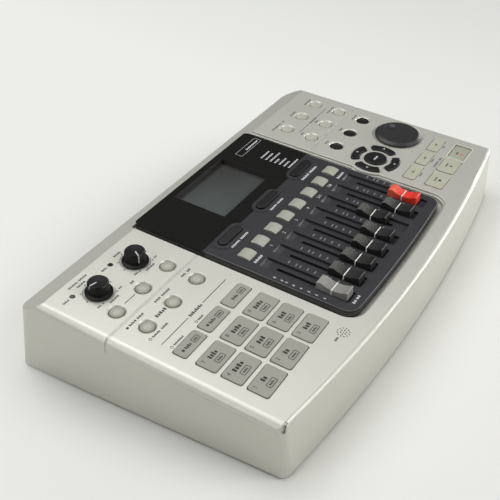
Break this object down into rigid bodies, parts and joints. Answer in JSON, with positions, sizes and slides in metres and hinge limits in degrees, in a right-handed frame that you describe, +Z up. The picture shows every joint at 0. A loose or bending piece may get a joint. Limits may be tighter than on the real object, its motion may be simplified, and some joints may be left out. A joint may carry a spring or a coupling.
{
  "type": "multitrack recorder",
  "caption": "Low wedge-shaped desktop multitrack recorder with a row of faders, a display window, drum pads, a cursor ring, a jog dial and transport keys.",
  "frame": {"origin": "on the table, under the middle of the object", "axes": "+X to the right of someone using it, +Y from the front to the rear, +Z up"},
  "size_m": [0.316, 0.1996, 0.063],
  "materials": {
    "case_silver": "satin silver moulding",
    "cover_dark": "fine matt moulding",
    "panel_dark": "satin dark grey",
    "window_black": "polished acrylic",
    "lcd_glass": "display glass in its frame",
    "board_green": "circuit board",
    "metal": "plated",
    "socket_black": "moulded",
    "foot_rubber": "matt",
    "lamp_lens": "dark lens",
    "knob_black": "satin black",
    "dial_dark": "satin dark grey",
    "cap_black": "satin black",
    "cap_grey": "satin grey",
    "cap_red": "satin red",
    "pad_rubber": "soft grey rubber",
    "key_black": "satin black",
    "key_clear": "milky translucent",
    "status_clear": "milky translucent",
    "transport_clear": "milky translucent"
  },
  "bodies": {
    "base": {"top_case": "case_silver", "bottom_cover": "cover_dark", "fader_panel": "panel_dark", "display_window": "window_black", "lcd_module": "lcd_glass", "panel_board": "board_green", "main_board": "board_green", "slide_pots": "metal", "rotary_pots": "metal", "dial_encoder": "metal", "key_switches": "socket_black", "phone_jacks": "socket_black", "line_sockets": "metal", "headphone_jack": "socket_black", "power_inlet": "socket_black", "card_socket": "metal", "battery_contacts": "metal", "feet": "foot_rubber", "screws": "metal", "peak_lamps": "lamp_lens", "mic_capsule": "metal"},
    "power_switch": {"power_switch": "socket_black"},
    "battery_cover": {"battery_cover": "cover_dark"},
    "input_knob_1": {"input_knob_1": "knob_black"},
    "input_knob_2": {"input_knob_2": "knob_black"},
    "jog_dial": {"jog_dial": "dial_dark"},
    "fader_cap_1": {"fader_cap_1": "cap_grey"},
    "fader_cap_2": {"fader_cap_2": "cap_black"},
    "fader_cap_3": {"fader_cap_3": "cap_black"},
    "fader_cap_4": {"fader_cap_4": "cap_black"},
    "fader_cap_5": {"fader_cap_5": "cap_black"},
    "fader_cap_6": {"fader_cap_6": "cap_black"},
    "fader_cap_7": {"fader_cap_7": "cap_black"},
    "fader_cap_8": {"fader_cap_8": "cap_red"},
    "pad_1": {"pad_1": "pad_rubber"},
    "pad_2": {"pad_2": "pad_rubber"},
    "pad_3": {"pad_3": "pad_rubber"},
    "pad_4": {"pad_4": "pad_rubber"},
    "pad_5": {"pad_5": "pad_rubber"},
    "pad_6": {"pad_6": "pad_rubber"},
    "pad_7": {"pad_7": "pad_rubber"},
    "pad_8": {"pad_8": "pad_rubber"},
    "pad_9": {"pad_9": "pad_rubber"},
    "return_key": {"return_key": "transport_clear"},
    "rewind_key": {"rewind_key": "transport_clear"},
    "forward_key": {"forward_key": "transport_clear"},
    "stop_key": {"stop_key": "transport_clear"},
    "play_key": {"play_key": "transport_clear"},
    "record_key": {"record_key": "transport_clear"},
    "cursor_right": {"cursor_right": "key_black"},
    "cursor_up": {"cursor_up": "key_black"},
    "cursor_left": {"cursor_left": "key_black"},
    "cursor_down": {"cursor_down": "key_black"},
    "enter_key": {"enter_key": "key_black"},
    "rhythm_keys": {"rhythm_keys": "pad_rubber"},
    "mode_keys": {"mode_keys": "dial_dark"},
    "status_keys": {"status_keys": "status_clear"},
    "round_keys_left": {"round_keys_left": "key_clear"},
    "round_keys_right": {"round_keys_right": "key_clear"},
    "round_keys_black": {"round_keys_black": "key_black"}
  },
  "joints": [
    {"name": "power_slide", "type": "slide", "parent": "base", "child": "power_switch", "axis": [1, 0, 0], "range_m": [0, 0.003]},
    {"name": "battery_cover_lift", "type": "slide", "parent": "base", "child": "battery_cover", "axis": [0, 0, -1], "range_m": [0, 0.04]},
    {"name": "input_knob_1_turn", "type": "hinge", "parent": "base", "child": "input_knob_1", "pos_m": [-0.1288, 0.04947, 0.05428], "axis": [0, -0.0958, 0.9954], "range_deg": [-226, 74]},
    {"name": "input_knob_2_turn", "type": "hinge", "parent": "base", "child": "input_knob_2", "pos_m": [-0.0947, 0.04947, 0.05428], "axis": [0, -0.0958, 0.9954], "range_deg": [-300, 0]},
    {"name": "jog_dial_turn", "type": "hinge", "parent": "base", "child": "jog_dial", "pos_m": [0.1328, -0.0236, 0.04725], "axis": [0, -0.0958, 0.9954], "continuous": true},
    {"name": "fader_cap_1_slide", "type": "slide", "parent": "base", "child": "fader_cap_1", "axis": [0, 0.9954, 0.0958], "range_m": [-0.0005, 0.037]},
    {"name": "fader_cap_2_slide", "type": "slide", "parent": "base", "child": "fader_cap_2", "axis": [0, 0.9954, 0.0958], "range_m": [-0.0005, 0.037]},
    {"name": "fader_cap_3_slide", "type": "slide", "parent": "base", "child": "fader_cap_3", "axis": [0, 0.9954, 0.0958], "range_m": [-0.0005, 0.037]},
    {"name": "fader_cap_4_slide", "type": "slide", "parent": "base", "child": "fader_cap_4", "axis": [0, 0.9954, 0.0958], "range_m": [-0.0005, 0.037]},
    {"name": "fader_cap_5_slide", "type": "slide", "parent": "base", "child": "fader_cap_5", "axis": [0, 0.9954, 0.0958], "range_m": [-0.002, 0.0355]},
    {"name": "fader_cap_6_slide", "type": "slide", "parent": "base", "child": "fader_cap_6", "axis": [0, 0.9954, 0.0958], "range_m": [-0.0126, 0.0249]},
    {"name": "fader_cap_7_slide", "type": "slide", "parent": "base", "child": "fader_cap_7", "axis": [0, 0.9954, 0.0958], "range_m": [-0.0019, 0.0356]},
    {"name": "fader_cap_8_slide", "type": "slide", "parent": "base", "child": "fader_cap_8", "axis": [0, 0.9954, 0.0958], "range_m": [-0.0045, 0.033]},
    {"name": "pad_1_press", "type": "slide", "parent": "base", "child": "pad_1", "axis": [0, 0.0958, -0.9954], "range_m": [0, 0.001], "stiffness_N_per_m": 400},
    {"name": "pad_2_press", "type": "slide", "parent": "base", "child": "pad_2", "axis": [0, 0.0958, -0.9954], "range_m": [0, 0.001], "stiffness_N_per_m": 400},
    {"name": "pad_3_press", "type": "slide", "parent": "base", "child": "pad_3", "axis": [0, 0.0958, -0.9954], "range_m": [0, 0.001], "stiffness_N_per_m": 400},
    {"name": "pad_4_press", "type": "slide", "parent": "base", "child": "pad_4", "axis": [0, 0.0958, -0.9954], "range_m": [0, 0.001], "stiffness_N_per_m": 400},
    {"name": "pad_5_press", "type": "slide", "parent": "base", "child": "pad_5", "axis": [0, 0.0958, -0.9954], "range_m": [0, 0.001], "stiffness_N_per_m": 400},
    {"name": "pad_6_press", "type": "slide", "parent": "base", "child": "pad_6", "axis": [0, 0.0958, -0.9954], "range_m": [0, 0.001], "stiffness_N_per_m": 400},
    {"name": "pad_7_press", "type": "slide", "parent": "base", "child": "pad_7", "axis": [0, 0.0958, -0.9954], "range_m": [0, 0.001], "stiffness_N_per_m": 400},
    {"name": "pad_8_press", "type": "slide", "parent": "base", "child": "pad_8", "axis": [0, 0.0958, -0.9954], "range_m": [0, 0.001], "stiffness_N_per_m": 400},
    {"name": "pad_9_press", "type": "slide", "parent": "base", "child": "pad_9", "axis": [0, 0.0958, -0.9954], "range_m": [0, 0.001], "stiffness_N_per_m": 400},
    {"name": "return_key_press", "type": "slide", "parent": "base", "child": "return_key", "axis": [0, 0.0958, -0.9954], "range_m": [0, 0.001], "stiffness_N_per_m": 400},
    {"name": "rewind_key_press", "type": "slide", "parent": "base", "child": "rewind_key", "axis": [0, 0.0958, -0.9954], "range_m": [0, 0.001], "stiffness_N_per_m": 400},
    {"name": "forward_key_press", "type": "slide", "parent": "base", "child": "forward_key", "axis": [0, 0.0958, -0.9954], "range_m": [0, 0.001], "stiffness_N_per_m": 400},
    {"name": "stop_key_press", "type": "slide", "parent": "base", "child": "stop_key", "axis": [0, 0.0958, -0.9954], "range_m": [0, 0.001], "stiffness_N_per_m": 400},
    {"name": "play_key_press", "type": "slide", "parent": "base", "child": "play_key", "axis": [0, 0.0958, -0.9954], "range_m": [0, 0.001], "stiffness_N_per_m": 400},
    {"name": "record_key_press", "type": "slide", "parent": "base", "child": "record_key", "axis": [0, 0.0958, -0.9954], "range_m": [0, 0.001], "stiffness_N_per_m": 400},
    {"name": "cursor_right_press", "type": "slide", "parent": "base", "child": "cursor_right", "axis": [0, 0.0958, -0.9954], "range_m": [0, 0.001], "stiffness_N_per_m": 400},
    {"name": "cursor_up_press", "type": "slide", "parent": "base", "child": "cursor_up", "axis": [0, 0.0958, -0.9954], "range_m": [0, 0.001], "stiffness_N_per_m": 400},
    {"name": "cursor_left_press", "type": "slide", "parent": "base", "child": "cursor_left", "axis": [0, 0.0958, -0.9954], "range_m": [0, 0.001], "stiffness_N_per_m": 400},
    {"name": "cursor_down_press", "type": "slide", "parent": "base", "child": "cursor_down", "axis": [0, 0.0958, -0.9954], "range_m": [0, 0.001], "stiffness_N_per_m": 400},
    {"name": "enter_key_press", "type": "slide", "parent": "base", "child": "enter_key", "axis": [0, 0.0958, -0.9954], "range_m": [0, 0.001], "stiffness_N_per_m": 400},
    {"name": "rhythm_keys_press", "type": "slide", "parent": "base", "child": "rhythm_keys", "axis": [0, 0.0958, -0.9954], "range_m": [0, 0.001], "stiffness_N_per_m": 400},
    {"name": "mode_keys_press", "type": "slide", "parent": "base", "child": "mode_keys", "axis": [0, 0.0958, -0.9954], "range_m": [0, 0.001], "stiffness_N_per_m": 400},
    {"name": "status_keys_press", "type": "slide", "parent": "base", "child": "status_keys", "axis": [0, 0.0958, -0.9954], "range_m": [0, 0.001], "stiffness_N_per_m": 400},
    {"name": "round_keys_left_press", "type": "slide", "parent": "base", "child": "round_keys_left", "axis": [0, 0.0958, -0.9954], "range_m": [0, 0.001], "stiffness_N_per_m": 400},
    {"name": "round_keys_right_press", "type": "slide", "parent": "base", "child": "round_keys_right", "axis": [0, 0.0958, -0.9954], "range_m": [0, 0.001], "stiffness_N_per_m": 400},
    {"name": "round_keys_black_press", "type": "slide", "parent": "base", "child": "round_keys_black", "axis": [0, 0.0958, -0.9954], "range_m": [0, 0.001], "stiffness_N_per_m": 400}
  ]
}
